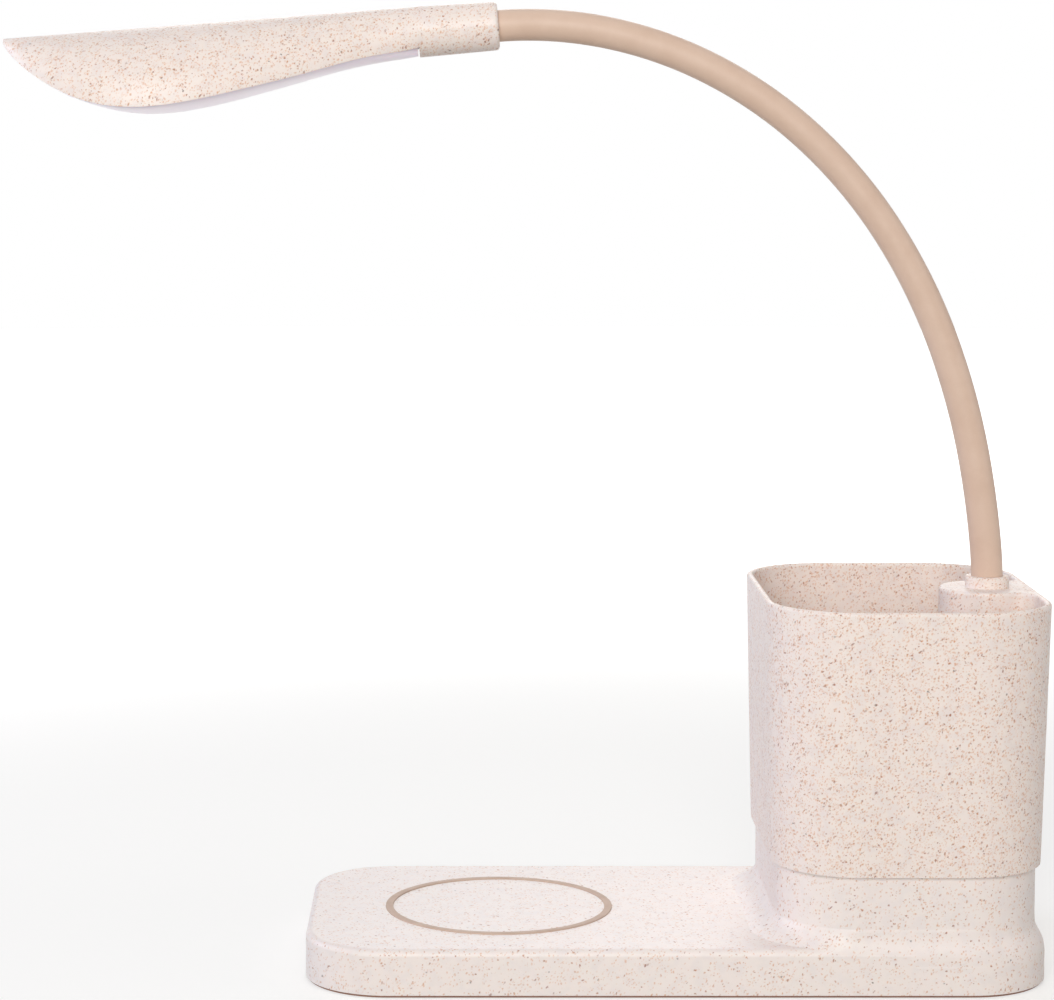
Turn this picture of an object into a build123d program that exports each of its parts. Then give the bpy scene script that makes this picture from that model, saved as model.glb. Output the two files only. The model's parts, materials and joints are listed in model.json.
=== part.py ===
from build123d import *
from math import asin, cos, degrees, radians, sin, sqrt, tan
import os

os.makedirs("parts", exist_ok=True)

# Desk lamp with a pen cup and a gooseneck. Millimetres, +Z up, the front faces -Y.
# The origin is the middle of the base pad's underside.

# Clearances
slide_gap = 0.15  # between a piece and the pocket it drops into
running_gap = 0.08  # ball in its socket
thread_gap = 0.05  # nut on its stud, modelled without thread
seat_gap = 0.2  # button flange to the wall behind it
hinge_margin = 3.0  # degrees of spare bend at each neck joint

# Base slab
base_length = 190.0
base_width = 90.0
base_corner = 21.5
base_top = 12.2
base_edge_round = 1.8
base_wall = 2.2
pad_thickness = 0.6
pad_inset = 0.6
cover_thickness = 2.0

# Tower under the cup
tower_length = 66.6
tower_width = 87.6
tower_corner = 20.0
tower_wall = 2.2
deck_top = 32.2
deck_thickness = 2.0

# The flare from slab to tower: height, then how far in from the slab's end and its front,
# and how far out from the tower's inner side
flare = [
    (7.6, 0.0, 0.0, 13.0),
    (9.4, 0.2, 0.0, 11.4),
    (11.0, 0.7, 0.1, 9.2),
    (12.0, 1.15, 0.3, 6.9),
    (12.8, 1.6, 0.52, 4.7),
    (13.8, 2.15, 0.8, 2.8),
    (15.2, 2.6, 1.02, 1.2),
    (17.2, 2.8, 1.2, 0.0),
]

# Pen cup
cup_length = 69.2
cup_width = 90.4
cup_corner = 21.3
cup_foot = 30.7
cup_rim = 97.6
cup_flare = 1.7  # how far each side leans out from foot to rim
cup_wall = 1.8
cup_floor = 2.5
cup_rim_round = 0.8
skirt_wall = 1.1
boss_radius = 12.5
boss_blend = 4.0
boss_plate = 6.0
boss_hollow = 8.0
boss_draft = 0.85
collar_radius = 5.7
collar_height = 3.0
collar_edge_round = 0.5

# Gooseneck: rest curve as lengths between stations and the heading at each, in degrees
neck_from_tower = 24.45
neck_seat = 97.1
neck_steps = [11.5, 22.0, 32.0, 32.0, 32.0, 32.0, 32.0, 25.6]
neck_headings = [90.0, 95.6, 100.6, 110.4, 122.6, 137.0, 152.9, 170.1, 184.4]
neck_bends = [30.0, 12.0, 12.0, 12.0, 28.0, 28.0, 30.0]  # largest bend at each joint
sleeve_radius = 4.1
core_radius = 3.3
wire_bore = 1.5
socket_depth = 4.0  # neck inside the head's socket

# Neck fasteners
stud_radius = 3.0
stud_length = 8.5
ferrule_length = 3.0
neck_nut_size = 10.0
neck_nut_height = 4.0
head_stud_radius = 2.3
head_stud_length = 6.5
head_nut_size = 8.0
head_nut_height = 3.0

# Lamp head, measured along its own axis from the neck socket's mouth
crown_height = 6.5
head_wall = 1.6
mouth_radius = 6.2
socket_length = 20.8
socket_step = 0.1  # how far the socket stands out round the shell's start
socket_round = 1.0
rim_spill = 2.0  # how far the inside is cut below the rim
half_turn = 180.0
head_bore_depth = 8.0
socket_web = 2.5
nut_chamber = 4.75
# Distance from the mouth, half width, height of the widest point below the crown,
# depth of the cover's rim, depth of the diffuser's lowest line
head_stations = [
    (20.8, 6.45, 6.45, 10.6, 12.7),
    (27.0, 7.25, 7.8, 11.4, 13.25),
    (34.0, 8.6, 9.2, 12.1, 13.9),
    (50.0, 13.6, 13.9, 15.2, 16.6),
    (66.0, 18.9, 17.6, 18.1, 19.7),
    (80.0, 22.4, 19.8, 20.2, 21.8),
    (92.0, 23.5, 20.5, 20.7, 22.1),
    (104.0, 21.7, 18.7, 18.7, 19.4),
    (114.0, 17.4, 14.0, 14.0, 14.5),
    (121.0, 12.2, 8.9, 8.9, 9.3),
    (126.0, 6.2, 4.0, 4.0, 4.3),
    (127.9, 1.8, 1.2, 1.2, 1.5),
]
diffuser_end_gap = 0.4
diffuser_side_gap = 0.25
diffuser_skirt = 1.5

# LED board and its carrier
carrier_depth = 8.0
carrier_thickness = 1.2
carrier_gap = 0.6
led_board_length = 62.0
led_board_width = 18.0
led_board_thickness = 1.0
led_board_corner = 1.6
led_board_x = 78.0
led_columns = 10
led_pitch = 6.0
led_row_gap = 10.0
led_size = 2.8
led_height = 0.7
carrier_screw_x = [62.0, 94.0]
carrier_boss_radius = 2.6
carrier_post_root = 0.8  # how deep the posts start in the crown's wall
led_socket_x = 40.0
led_socket_length = 6.0
led_socket_width = 5.0
led_socket_height = 3.0

# Small screws
screw_radius = 0.95
screw_length = 5.0  # thread in the post
screw_head_radius = 1.9
screw_head_height = 1.2
cup_screw_radius = 1.3
cup_screw_head_radius = 3.4
cup_screw_head_height = 1.8
cover_screw_radius = 1.4
cover_screw_head_radius = 2.7
cover_screw_head_height = 1.3
cover_screw_inset = 15.0  # from the slab's ends and sides
cover_post_radius = 2.8
board_post_radius = 2.4
board_screw_length = 5.6
cup_screw_from_tower = [-20.9, 7.1]
cup_screw_inset = 9.3
cup_screw_grip = 1.25
cup_post_radius = 2.75
neck_hole_radius = 5.8

# Charging parts
coil_from_end = 50.0
coil_outer = 22.0
coil_inner = 10.0
coil_thickness = 1.2
ferrite_radius = 25.0
ferrite_thickness = 1.0
ring_radius = 30.0
ring_width = 2.0
ring_proud = 0.3
ring_sunk = 0.6
ring_edge_round = 0.15
charge_board_from_coil = 49.0
charge_board_length = 30.0
charge_board_width = 34.0
charge_board_z = 5.6
board_thickness = 1.6

# Ballast
ballast_board_gap = 7.0
ballast_end_from_tower = 15.1
ballast_width = 64.0
ballast_thickness = 4.0
rail_width = 2.2
rail_height = 2.0

# Main board and what the rear wall lets through
board_from_tower = -2.9
board_length = 36.0
board_corner = 3.0
board_width = 44.0
board_hole_inset = 3.5
board_hole_rear = 12.0
board_top = 20.0
board_rear_gap = 1.6
port_from_tower = -8.9
port_width = 8.9
port_height = 3.2
port_length = 7.3
port_shell = 0.3
tongue_width = 6.7
tongue_thickness = 0.7
button_from_tower = 9.1
button_radius = 4.0
button_travel = 0.5
button_dish_radius = 6.0
button_dish_depth = 0.6
button_edge_round = 0.3
button_flange_radius = 5.2
button_flange_thickness = 0.8
button_stem_radius = 1.5
button_stem_length = 2.4
switch_size = 6.0
switch_depth = 4.0
plunger_radius = 1.6
plunger_length = 2.0
plunger_reach = 0.8  # how far the plunger stands out of the switch at rest

# Leads
lead_radius = 0.6
lead_spread = 0.9
lead_bend = 9.0
charge_lead_from_tower = -11.9
charge_lead_start = 7.5
charge_lead_bend = 4.5
tail_radius = 0.4
tail_spread = 3.0
tail_end_inset = 5.0
tail_bend = 0.8

# Derived places
base_bottom = pad_thickness
cover_top = base_bottom + cover_thickness
slab_ceiling = base_top - base_wall
deck_bottom = deck_top - deck_thickness
tower_half = tower_width / 2
tower_x = base_length / 2 - flare[-1][1] - tower_length / 2
tower_side = tower_x - tower_length / 2
neck_x = tower_x + neck_from_tower
coil_x = coil_from_end - base_length / 2
charge_board_x = coil_x + charge_board_from_coil
tail_end_x = charge_board_x - charge_board_length / 2 + tail_end_inset
ballast_start_x = charge_board_x + charge_board_length / 2 + ballast_board_gap
ballast_end_x = tower_x + ballast_end_from_tower
ballast_length = ballast_end_x - ballast_start_x
ballast_x = (ballast_start_x + ballast_end_x) / 2
board_x = tower_x + board_from_tower
port_x = tower_x + port_from_tower
button_x = tower_x + button_from_tower
charge_lead_x = tower_x + charge_lead_from_tower
cover_screw_x = base_length / 2 - cover_screw_inset
cover_screw_y = base_width / 2 - cover_screw_inset
cup_screw_y = tower_half - cup_screw_inset
cup_screw_x = [tower_x + shift for shift in cup_screw_from_tower]
floor_top = deck_top + cup_floor
plate_bottom = cup_rim - boss_plate
bore_radius = sleeve_radius + slide_gap
board_bottom = board_top - board_thickness
board_rear = tower_half - tower_wall - board_rear_gap
board_y = board_rear - board_width / 2
rear_face = tower_half - button_dish_depth
rear_inner = tower_half - tower_wall
button_z = board_top + switch_size / 2
cover_screw_places = [(end * cover_screw_x, side * cover_screw_y) for end in (-1, 1) for side in (-1, 1)]
cup_screw_places = [
    (cup_screw_x[0], -cup_screw_y),
    (cup_screw_x[0], cup_screw_y),
    (cup_screw_x[1], -cup_screw_y),
]
board_hole_places = [
    (board_x + side * (board_length / 2 - board_hole_inset), y)
    for side in (-1, 1)
    for y in (board_rear - board_hole_rear, board_rear - board_width + board_hole_inset)
]
charge_hole_y = charge_board_width / 2 - board_hole_inset
charge_hole_places = [(charge_board_x, side * charge_hole_y) for side in (-1, 1)]


# Lower housing: slab, flared tower foot and tower in one hollow shell
with BuildPart() as lower_housing:
    with BuildSketch(Plane.XY.offset(base_bottom)):
        RectangleRounded(base_length, base_width, base_corner)
    extrude(amount=base_top - base_bottom)
    fillet(lower_housing.edges().group_by(Axis.Z)[-1], base_edge_round)
    # the slab's top layer gives way to the flare at its right end
    flare_foot = flare[0][0]
    with BuildSketch(Plane.XY.offset(flare_foot)):
        with Locations(((base_length / 2 + tower_x) / 2, 0)):
            Rectangle(base_length / 2 - tower_x, base_width + base_wall)
    extrude(amount=base_top - flare_foot + base_wall, mode=Mode.SUBTRACT)
    for height, end_in, front_in, side_out in flare:
        left = tower_side - side_out
        right = base_length / 2 - end_in
        with BuildSketch(Plane.XY.offset(height)):
            with Locations(((left + right) / 2, 0)):
                RectangleRounded(right - left, base_width - 2 * front_in, base_corner - front_in)
    loft()
    with BuildSketch(Plane.XY.offset(flare[-1][0])):
        with Locations((tower_x, 0)):
            RectangleRounded(tower_length, tower_width, tower_corner)
    extrude(amount=deck_top - flare[-1][0])
    # hollow slab and tower, open below
    with BuildSketch(Plane.XY.offset(base_bottom)):
        RectangleRounded(base_length - 2 * base_wall, base_width - 2 * base_wall, base_corner - base_wall)
    extrude(amount=slab_ceiling - base_bottom, mode=Mode.SUBTRACT)
    with BuildSketch(Plane.XY.offset(slab_ceiling)):
        with Locations((tower_x, 0)):
            RectangleRounded(
                tower_length - 2 * tower_wall, tower_width - 2 * tower_wall, tower_corner - tower_wall
            )
    extrude(amount=deck_bottom - slab_ceiling, mode=Mode.SUBTRACT)
    # posts for the cover screws, the board and the cup screws
    with BuildSketch(Plane.XY.offset(cover_top)):
        with Locations(*cover_screw_places[:2]):
            Circle(cover_post_radius)
    extrude(amount=slab_ceiling - cover_top)
    with BuildSketch(Plane.XY.offset(cover_top)):
        with Locations(*cover_screw_places[2:]):
            Circle(cover_post_radius)
    extrude(amount=deck_bottom - cover_top)
    with BuildSketch(Plane.XY.offset(board_top)):
        with Locations(*board_hole_places):
            Circle(board_post_radius)
    extrude(amount=deck_bottom - board_top)
    with BuildSketch(Plane.XY.offset(cover_top)):
        with Locations(*cover_screw_places):
            Circle(cover_screw_radius)
    extrude(amount=slab_ceiling - cover_top - thread_gap, mode=Mode.SUBTRACT)
    with BuildSketch(Plane.XY.offset(board_top)):
        with Locations(*board_hole_places):
            Circle(screw_radius)
    extrude(amount=deck_bottom - board_top - thread_gap, mode=Mode.SUBTRACT)
    with BuildSketch(Plane.XY.offset(deck_bottom)):
        with Locations(*cup_screw_places):
            Circle(cup_post_radius + slide_gap)
        with Locations((neck_x, 0)):
            Circle(neck_hole_radius)
    extrude(amount=deck_thickness, mode=Mode.SUBTRACT)
    # rear wall: inlet slot, button hole and the dish round it
    with BuildSketch(Plane.XZ.offset(-tower_half - seat_gap)):
        with Locations((port_x, board_top + port_height / 2)):
            SlotOverall(port_width + 2 * slide_gap, port_height + 2 * slide_gap)
        with Locations((button_x, button_z)):
            Circle(button_radius + slide_gap)
    extrude(amount=tower_wall + 2 * seat_gap, mode=Mode.SUBTRACT)
    with BuildSketch(Plane.XZ.offset(-tower_half)):
        with Locations((button_x, button_z)):
            Circle(button_dish_radius)
    extrude(amount=button_dish_depth, mode=Mode.SUBTRACT)
    # groove for the anti-slip ring
    with BuildSketch(Plane.XY.offset(base_top)):
        with Locations((coil_x, 0)):
            Circle(ring_radius)
            Circle(ring_radius - ring_width, mode=Mode.SUBTRACT)
    extrude(amount=-ring_sunk, mode=Mode.SUBTRACT)

# Anti-slip ring round the charging place
with BuildPart() as anti_slip_ring:
    with BuildSketch(Plane.XY.offset(base_top - ring_sunk)):
        with Locations((coil_x, 0)):
            Circle(ring_radius)
            Circle(ring_radius - ring_width, mode=Mode.SUBTRACT)
    extrude(amount=ring_sunk + ring_proud)
    fillet(anti_slip_ring.edges().group_by(Axis.Z)[-1], ring_edge_round)

# Bottom cover, dropped into the housing's open underside
with BuildPart() as bottom_cover:
    cover_inset = base_wall + slide_gap
    with BuildSketch(Plane.XY.offset(base_bottom)):
        RectangleRounded(
            base_length - 2 * cover_inset, base_width - 2 * cover_inset, base_corner - cover_inset
        )
    extrude(amount=cover_thickness)
    with BuildSketch(Plane.XY.offset(base_bottom)):
        with Locations(*cover_screw_places):
            Circle(cover_screw_radius + slide_gap)
    extrude(amount=cover_thickness, mode=Mode.SUBTRACT)
    with BuildSketch(Plane.XY.offset(base_bottom)):
        with Locations(*cover_screw_places):
            Circle(cover_screw_head_radius + slide_gap)
    extrude(amount=cover_screw_head_height, mode=Mode.SUBTRACT)
    # two posts for the charging board
    with BuildSketch(Plane.XY.offset(cover_top)):
        with Locations(*charge_hole_places):
            Circle(board_post_radius)
    extrude(amount=charge_board_z - cover_top)
    with BuildSketch(Plane.XY.offset(charge_board_z)):
        with Locations(*charge_hole_places):
            Circle(screw_radius)
    extrude(amount=cover_top - charge_board_z, mode=Mode.SUBTRACT)
    # low rails that keep the ballast in place
    with BuildSketch(Plane.XY.offset(cover_top)):
        with Locations((ballast_x, 0)):
            Rectangle(ballast_length + 2 * rail_width, ballast_width + 2 * rail_width)
            Rectangle(ballast_length + 2 * slide_gap, ballast_width + 2 * slide_gap, mode=Mode.SUBTRACT)
    extrude(amount=rail_height)

# Rubber pad glued under the base
with BuildPart() as base_pad:
    with BuildSketch():
        RectangleRounded(base_length - 2 * pad_inset, base_width - 2 * pad_inset, base_corner - pad_inset)
    extrude(amount=pad_thickness)

with BuildPart() as cover_screws:
    with BuildSketch(Plane.XY.offset(base_bottom)):
        with Locations(*cover_screw_places):
            Circle(cover_screw_head_radius)
    extrude(amount=cover_screw_head_height)
    with BuildSketch(Plane.XY.offset(base_bottom)):
        with Locations(*cover_screw_places):
            Circle(cover_screw_radius - thread_gap)
    extrude(amount=slab_ceiling - base_bottom - 2 * slide_gap)

with BuildPart() as ballast_plate:
    with BuildSketch(Plane.XY.offset(cover_top)):
        with Locations((ballast_x, 0)):
            Rectangle(ballast_length, ballast_width)
    extrude(amount=ballast_thickness)

# Charging coil and ferrite under the slab's top
with BuildPart() as charging_coil:
    with BuildSketch(Plane.XY.offset(slab_ceiling)):
        with Locations((coil_x, 0)):
            Circle(coil_outer)
            Circle(coil_inner, mode=Mode.SUBTRACT)
    extrude(amount=-coil_thickness)

with BuildPart() as coil_ferrite:
    with BuildSketch(Plane.XY.offset(slab_ceiling - coil_thickness)):
        with Locations((coil_x, 0)):
            Circle(ferrite_radius)
    extrude(amount=-ferrite_thickness)

with BuildPart() as charging_board:
    with BuildSketch(Plane.XY.offset(charge_board_z)):
        with Locations((charge_board_x, 0)):
            Rectangle(charge_board_length, charge_board_width)
        with Locations(*charge_hole_places):
            Circle(screw_radius + slide_gap, mode=Mode.SUBTRACT)
    extrude(amount=board_thickness)

with BuildPart() as charging_board_screws:
    with BuildSketch(Plane.XY.offset(charge_board_z + board_thickness)):
        with Locations(*charge_hole_places):
            Circle(screw_head_radius)
    extrude(amount=screw_head_height)
    with BuildSketch(Plane.XY.offset(charge_board_z + board_thickness)):
        with Locations(*charge_hole_places):
            Circle(screw_radius - thread_gap)
    extrude(amount=cover_top - charge_board_z - board_thickness + slide_gap)

# Main board hung under the tower's deck
with BuildPart() as main_board:
    with BuildSketch(Plane.XY.offset(board_bottom)):
        with Locations((board_x, board_y)):
            RectangleRounded(board_length, board_width, board_corner)
        with Locations(*board_hole_places):
            Circle(screw_radius + slide_gap, mode=Mode.SUBTRACT)
    extrude(amount=board_thickness)

with BuildPart() as board_screws:
    with BuildSketch(Plane.XY.offset(board_bottom)):
        with Locations(*board_hole_places):
            Circle(screw_head_radius)
    extrude(amount=-screw_head_height)
    with BuildSketch(Plane.XY.offset(board_bottom - screw_head_height)):
        with Locations(*board_hole_places):
            Circle(screw_radius - thread_gap)
    extrude(amount=screw_head_height + board_screw_length)

# Driver chip, inductor, two capacitors and the lamp lead's socket, on the board
chip_size = 7.0
chip_height = 1.2
chip_shift = -7.0
inductor_radius = 4.5
inductor_height = 5.0
inductor_shift = (-13.5, 2.0)
capacitor_radius = 3.0
capacitor_height = 7.0
capacitor_pitch = 9.0
lead_socket_length = 8.0
lead_socket_width = 5.0
lead_socket_height = 5.0
lead_socket_shift = (4.0, -10.5)
lead_socket_x = board_x + lead_socket_shift[0]
lead_socket_y = board_y + lead_socket_shift[1]
with BuildPart() as board_parts:
    with BuildSketch(Plane.XY.offset(board_top)):
        with Locations((board_x + chip_shift, board_y + chip_shift)):
            Rectangle(chip_size, chip_size)
    extrude(amount=chip_height)
    with BuildSketch(Plane.XY.offset(board_top)):
        with Locations((board_x + inductor_shift[0], board_y + inductor_shift[1])):
            Circle(inductor_radius)
    extrude(amount=inductor_height)
    with BuildSketch(Plane.XY.offset(board_top)):
        with Locations((board_x, board_y), (board_x, board_y + capacitor_pitch)):
            Circle(capacitor_radius)
    extrude(amount=capacitor_height)
    with BuildSketch(Plane.XY.offset(board_top)):
        with Locations((lead_socket_x, lead_socket_y)):
            Rectangle(lead_socket_length, lead_socket_width)
    extrude(amount=lead_socket_height)

# USB-C inlet: a rounded metal shell with its tongue
port_mouth = tower_half - slide_gap
with BuildPart() as usb_c_port:
    with BuildSketch(Plane.XZ.offset(-port_mouth)):
        with Locations((port_x, board_top + port_height / 2)):
            SlotOverall(port_width, port_height)
    extrude(amount=port_length)
    with BuildSketch(Plane.XZ.offset(-port_mouth)):
        with Locations((port_x, board_top + port_height / 2)):
            SlotOverall(port_width - 2 * port_shell, port_height - 2 * port_shell)
    extrude(amount=port_length - 2 * port_shell, mode=Mode.SUBTRACT)
    with BuildSketch(Plane.XZ.offset(-port_mouth + port_length)):
        with Locations((port_x, board_top + port_height / 2)):
            Rectangle(tongue_width, tongue_thickness)
    extrude(amount=port_shell - port_length + tongue_thickness)

# Push button in the rear wall, its plunger and the switch behind
flange_rear = rear_inner - seat_gap
stem_end = flange_rear - button_flange_thickness - button_stem_length
with BuildPart() as power_button:
    with BuildSketch(Plane.XZ.offset(-flange_rear)):
        with Locations((button_x, button_z)):
            Circle(button_radius)
    extrude(amount=flange_rear - rear_face - button_edge_round)
    fillet(power_button.edges().group_by(Axis.Y)[-1], button_edge_round)
    with BuildSketch(Plane.XZ.offset(-flange_rear)):
        with Locations((button_x, button_z)):
            Circle(button_flange_radius)
    extrude(amount=button_flange_thickness)
    with BuildSketch(Plane.XZ.offset(-flange_rear + button_flange_thickness)):
        with Locations((button_x, button_z)):
            Circle(button_stem_radius)
    extrude(amount=button_stem_length)

switch_face = stem_end - plunger_reach
with BuildPart() as switch_plunger:
    with BuildSketch(Plane.XZ.offset(-stem_end)):
        with Locations((button_x, button_z)):
            Circle(plunger_radius)
    extrude(amount=plunger_length)

with BuildPart() as tact_switch:
    with BuildSketch(Plane.XZ.offset(-switch_face)):
        with Locations((button_x, button_z)):
            Rectangle(switch_size, switch_size)
    extrude(amount=switch_depth)
    with BuildSketch(Plane.XZ.offset(-switch_face)):
        with Locations((button_x, button_z)):
            Circle(plunger_radius + running_gap)
    extrude(amount=plunger_length - plunger_reach + 2 * button_travel, mode=Mode.SUBTRACT)


# Outline of the cup at a height, drawn in by an inset
def cup_outline(height, inset):
    lean = cup_flare * (height - cup_foot) / (cup_rim - cup_foot) - inset
    with Locations((tower_x, 0)):
        RectangleRounded(cup_length + 2 * lean, cup_width + 2 * lean, cup_corner + lean)
    return lean


# Outline of the cup's inside, with the boss for the neck left standing
def cavity_outline(height):
    with BuildSketch(Plane.XY.offset(height)) as cavity:
        cup_outline(height, cup_wall)
        draft = boss_draft * (cup_rim - height) / (cup_rim - cup_foot)
        with Locations((neck_x, 0)):
            Circle(boss_radius + draft, mode=Mode.SUBTRACT)
        with Locations((neck_x + boss_radius, 0)):
            Rectangle(boss_radius, boss_radius, mode=Mode.SUBTRACT)
        near_boss = cavity.vertices().filter_by(lambda corner: abs(corner.Y) < boss_radius + cup_wall)
        fillet(near_boss.filter_by(lambda corner: corner.X > neck_x), boss_blend)
    return cavity.sketch


cavity_sections = [cavity_outline(height) for height in (floor_top, cup_rim)]
with BuildPart() as pen_cup:
    for height in (cup_foot, cup_rim):
        with BuildSketch(Plane.XY.offset(height)):
            cup_outline(height, 0)
    loft()
    loft(cavity_sections, mode=Mode.SUBTRACT)
    fillet(pen_cup.edges().group_by(Axis.Z)[-1], cup_rim_round)
    # collar ring on the boss
    with BuildSketch(Plane.XY.offset(cup_rim - cup_rim_round)):
        with Locations((neck_x, 0)):
            Circle(collar_radius)
    extrude(amount=collar_height + cup_rim_round)
    fillet(pen_cup.edges().group_by(Axis.Z)[-1], collar_edge_round)
    # recess under the floor that drops over the tower's deck
    with BuildSketch(Plane.XY.offset(cup_foot)):
        with Locations((tower_x, 0)):
            RectangleRounded(cup_length - 2 * skirt_wall, cup_width - 2 * skirt_wall, cup_corner - skirt_wall)
    extrude(amount=deck_top - cup_foot, mode=Mode.SUBTRACT)
    # hollow boss, neck bore and stud hole
    with BuildSketch(Plane.XY.offset(deck_top)):
        with Locations((neck_x, 0)):
            Circle(boss_hollow)
    extrude(amount=plate_bottom - deck_top, mode=Mode.SUBTRACT)
    with BuildSketch(Plane.XY.offset(plate_bottom)):
        with Locations((neck_x, 0)):
            Circle(stud_radius + slide_gap)
    extrude(amount=boss_plate, mode=Mode.SUBTRACT)
    with BuildSketch(Plane.XY.offset(neck_seat - ferrule_length)):
        with Locations((neck_x, 0)):
            Circle(bore_radius)
    extrude(amount=cup_rim + collar_height - neck_seat + ferrule_length, mode=Mode.SUBTRACT)
    # feet for the cup screws, let into the deck's holes
    with BuildSketch(Plane.XY.offset(deck_top)):
        with Locations(*cup_screw_places):
            Circle(cup_post_radius)
    extrude(amount=seat_gap - deck_thickness)
    with BuildSketch(Plane.XY.offset(deck_bottom + seat_gap)):
        with Locations(*cup_screw_places):
            Circle(cup_screw_radius)
    extrude(amount=deck_thickness + cup_screw_grip, mode=Mode.SUBTRACT)

with BuildPart() as cup_screws:
    with BuildSketch(Plane.XY.offset(deck_bottom)):
        with Locations(*cup_screw_places):
            Circle(cup_screw_head_radius)
    extrude(amount=-cup_screw_head_height)
    with BuildSketch(Plane.XY.offset(deck_bottom)):
        with Locations(*cup_screw_places):
            Circle(cup_screw_radius - thread_gap)
    extrude(amount=deck_thickness + cup_screw_grip)

# Lower end of the neck: ferrule in the bore, nut under the boss plate
ferrule_bottom = neck_seat - ferrule_length
with BuildPart() as neck_ferrule_lower:
    with BuildSketch(Plane.XY.offset(ferrule_bottom)):
        with Locations((neck_x, 0)):
            Circle(sleeve_radius)
    extrude(amount=ferrule_length)
    with BuildSketch(Plane.XY.offset(ferrule_bottom)):
        with Locations((neck_x, 0)):
            Circle(stud_radius)
    extrude(amount=-stud_length)
    with BuildSketch(Plane.XY.offset(neck_seat)):
        with Locations((neck_x, 0)):
            Circle(wire_bore)
    extrude(amount=-stud_length - ferrule_length, mode=Mode.SUBTRACT)

with BuildPart() as neck_nut_lower:
    with BuildSketch(Plane.XY.offset(plate_bottom)):
        with Locations((neck_x, 0)):
            RegularPolygon(neck_nut_size / 2, 6, major_radius=False)
            Circle(stud_radius + thread_gap, mode=Mode.SUBTRACT)
    extrude(amount=-neck_nut_height)

# Two lamp leads, from the stud down to the board's socket
lead_top = ferrule_bottom - stud_length
lead_z = board_top + lead_socket_height / 2
with BuildPart() as lamp_leads:
    for side in (-1, 1):
        lead_y = side * lead_spread
        with BuildLine():
            FilletPolyline(
                (neck_x, lead_y, lead_top),
                (neck_x, lead_y, lead_z),
                (lead_socket_x + lead_socket_length / 2 + lead_radius, lead_y + lead_socket_y, lead_z),
                radius=lead_bend,
            )
        with BuildSketch(Plane((neck_x, lead_y, lead_top), z_dir=(0, 0, -1))):
            Circle(lead_radius)
        sweep()

# Leads from the charging board up to the main board, and the coil's two tails
charge_lead_z = charge_board_z + board_thickness + lead_radius + seat_gap
with BuildPart() as charging_leads:
    for side in (-1, 1):
        lead_y = side * lead_spread
        start_x = charge_board_x + charge_lead_start
        with BuildLine():
            FilletPolyline(
                (start_x, lead_y, charge_lead_z),
                (charge_lead_x, lead_y, charge_lead_z),
                (charge_lead_x, lead_y, board_bottom),
                radius=charge_lead_bend,
            )
        with BuildSketch(Plane((start_x, lead_y, charge_lead_z), z_dir=(1, 0, 0))):
            Circle(lead_radius)
        sweep()

tail_z = slab_ceiling - coil_thickness / 2
tail_start = coil_x + sqrt(coil_outer ** 2 - tail_spread ** 2) + thread_gap
with BuildPart() as coil_tails:
    for side in (-1, 1):
        tail_y = side * tail_spread
        with BuildLine():
            FilletPolyline(
                (tail_start, tail_y, tail_z),
                (tail_end_x, tail_y, tail_z),
                (tail_end_x, tail_y, charge_board_z + board_thickness),
                radius=tail_bend,
            )
        with BuildSketch(Plane((tail_start, tail_y, tail_z), z_dir=(1, 0, 0))):
            Circle(tail_radius)
        sweep()

# Gooseneck: a chain of tangent arcs in the lamp's middle plane
neck_points = [(neck_x, neck_seat)]
for step, before, after in zip(neck_steps, neck_headings, neck_headings[1:]):
    turn = radians(after - before)
    arc_radius = step / turn
    chord = 2 * arc_radius * sin(turn / 2)
    way = radians((before + after) / 2)
    last_x, last_z = neck_points[-1]
    neck_points.append((last_x + chord * cos(way), last_z + chord * sin(way)))
neck_end = neck_points[-1]
head_heading = radians(neck_headings[-1])
print("neck joints", [(round(x, 3), round(z, 3)) for x, z in neck_points])


# Point, heading and arc radius at a distance along one span of the neck
def neck_place(span, along):
    before, after = neck_headings[span], neck_headings[span + 1]
    arc_radius = neck_steps[span] / radians(after - before)
    heading = before + (after - before) * along / neck_steps[span]
    chord = 2 * arc_radius * sin(radians(heading - before) / 2)
    way = radians((before + heading) / 2)
    start_x, start_z = neck_points[span]
    return (start_x + chord * cos(way), start_z + chord * sin(way)), heading, arc_radius


# One stretch of round bar or tube along a span, between two distances from its start
def neck_bar(span, start, end, outer, bore):
    (x, z), heading, arc_radius = neck_place(span, start)
    tangent = (cos(radians(heading)), sin(radians(heading)))
    with BuildPart() as bar:
        with BuildLine(Plane.XZ):
            JernArc((x, z), tangent, arc_radius, degrees((end - start) / arc_radius))
        with BuildSketch(Plane((x, 0, z), x_dir=(0, 1, 0), z_dir=(tangent[0], 0, tangent[1]))):
            Circle(outer)
            if bore:
                Circle(bore, mode=Mode.SUBTRACT)
        sweep()
    return bar.part


# How far a span's tube stops short of a joint so that it can bend that much
def joint_relief(joint, radius):
    return radius * tan(radians((neck_bends[joint] + hinge_margin) / 2))


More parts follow.
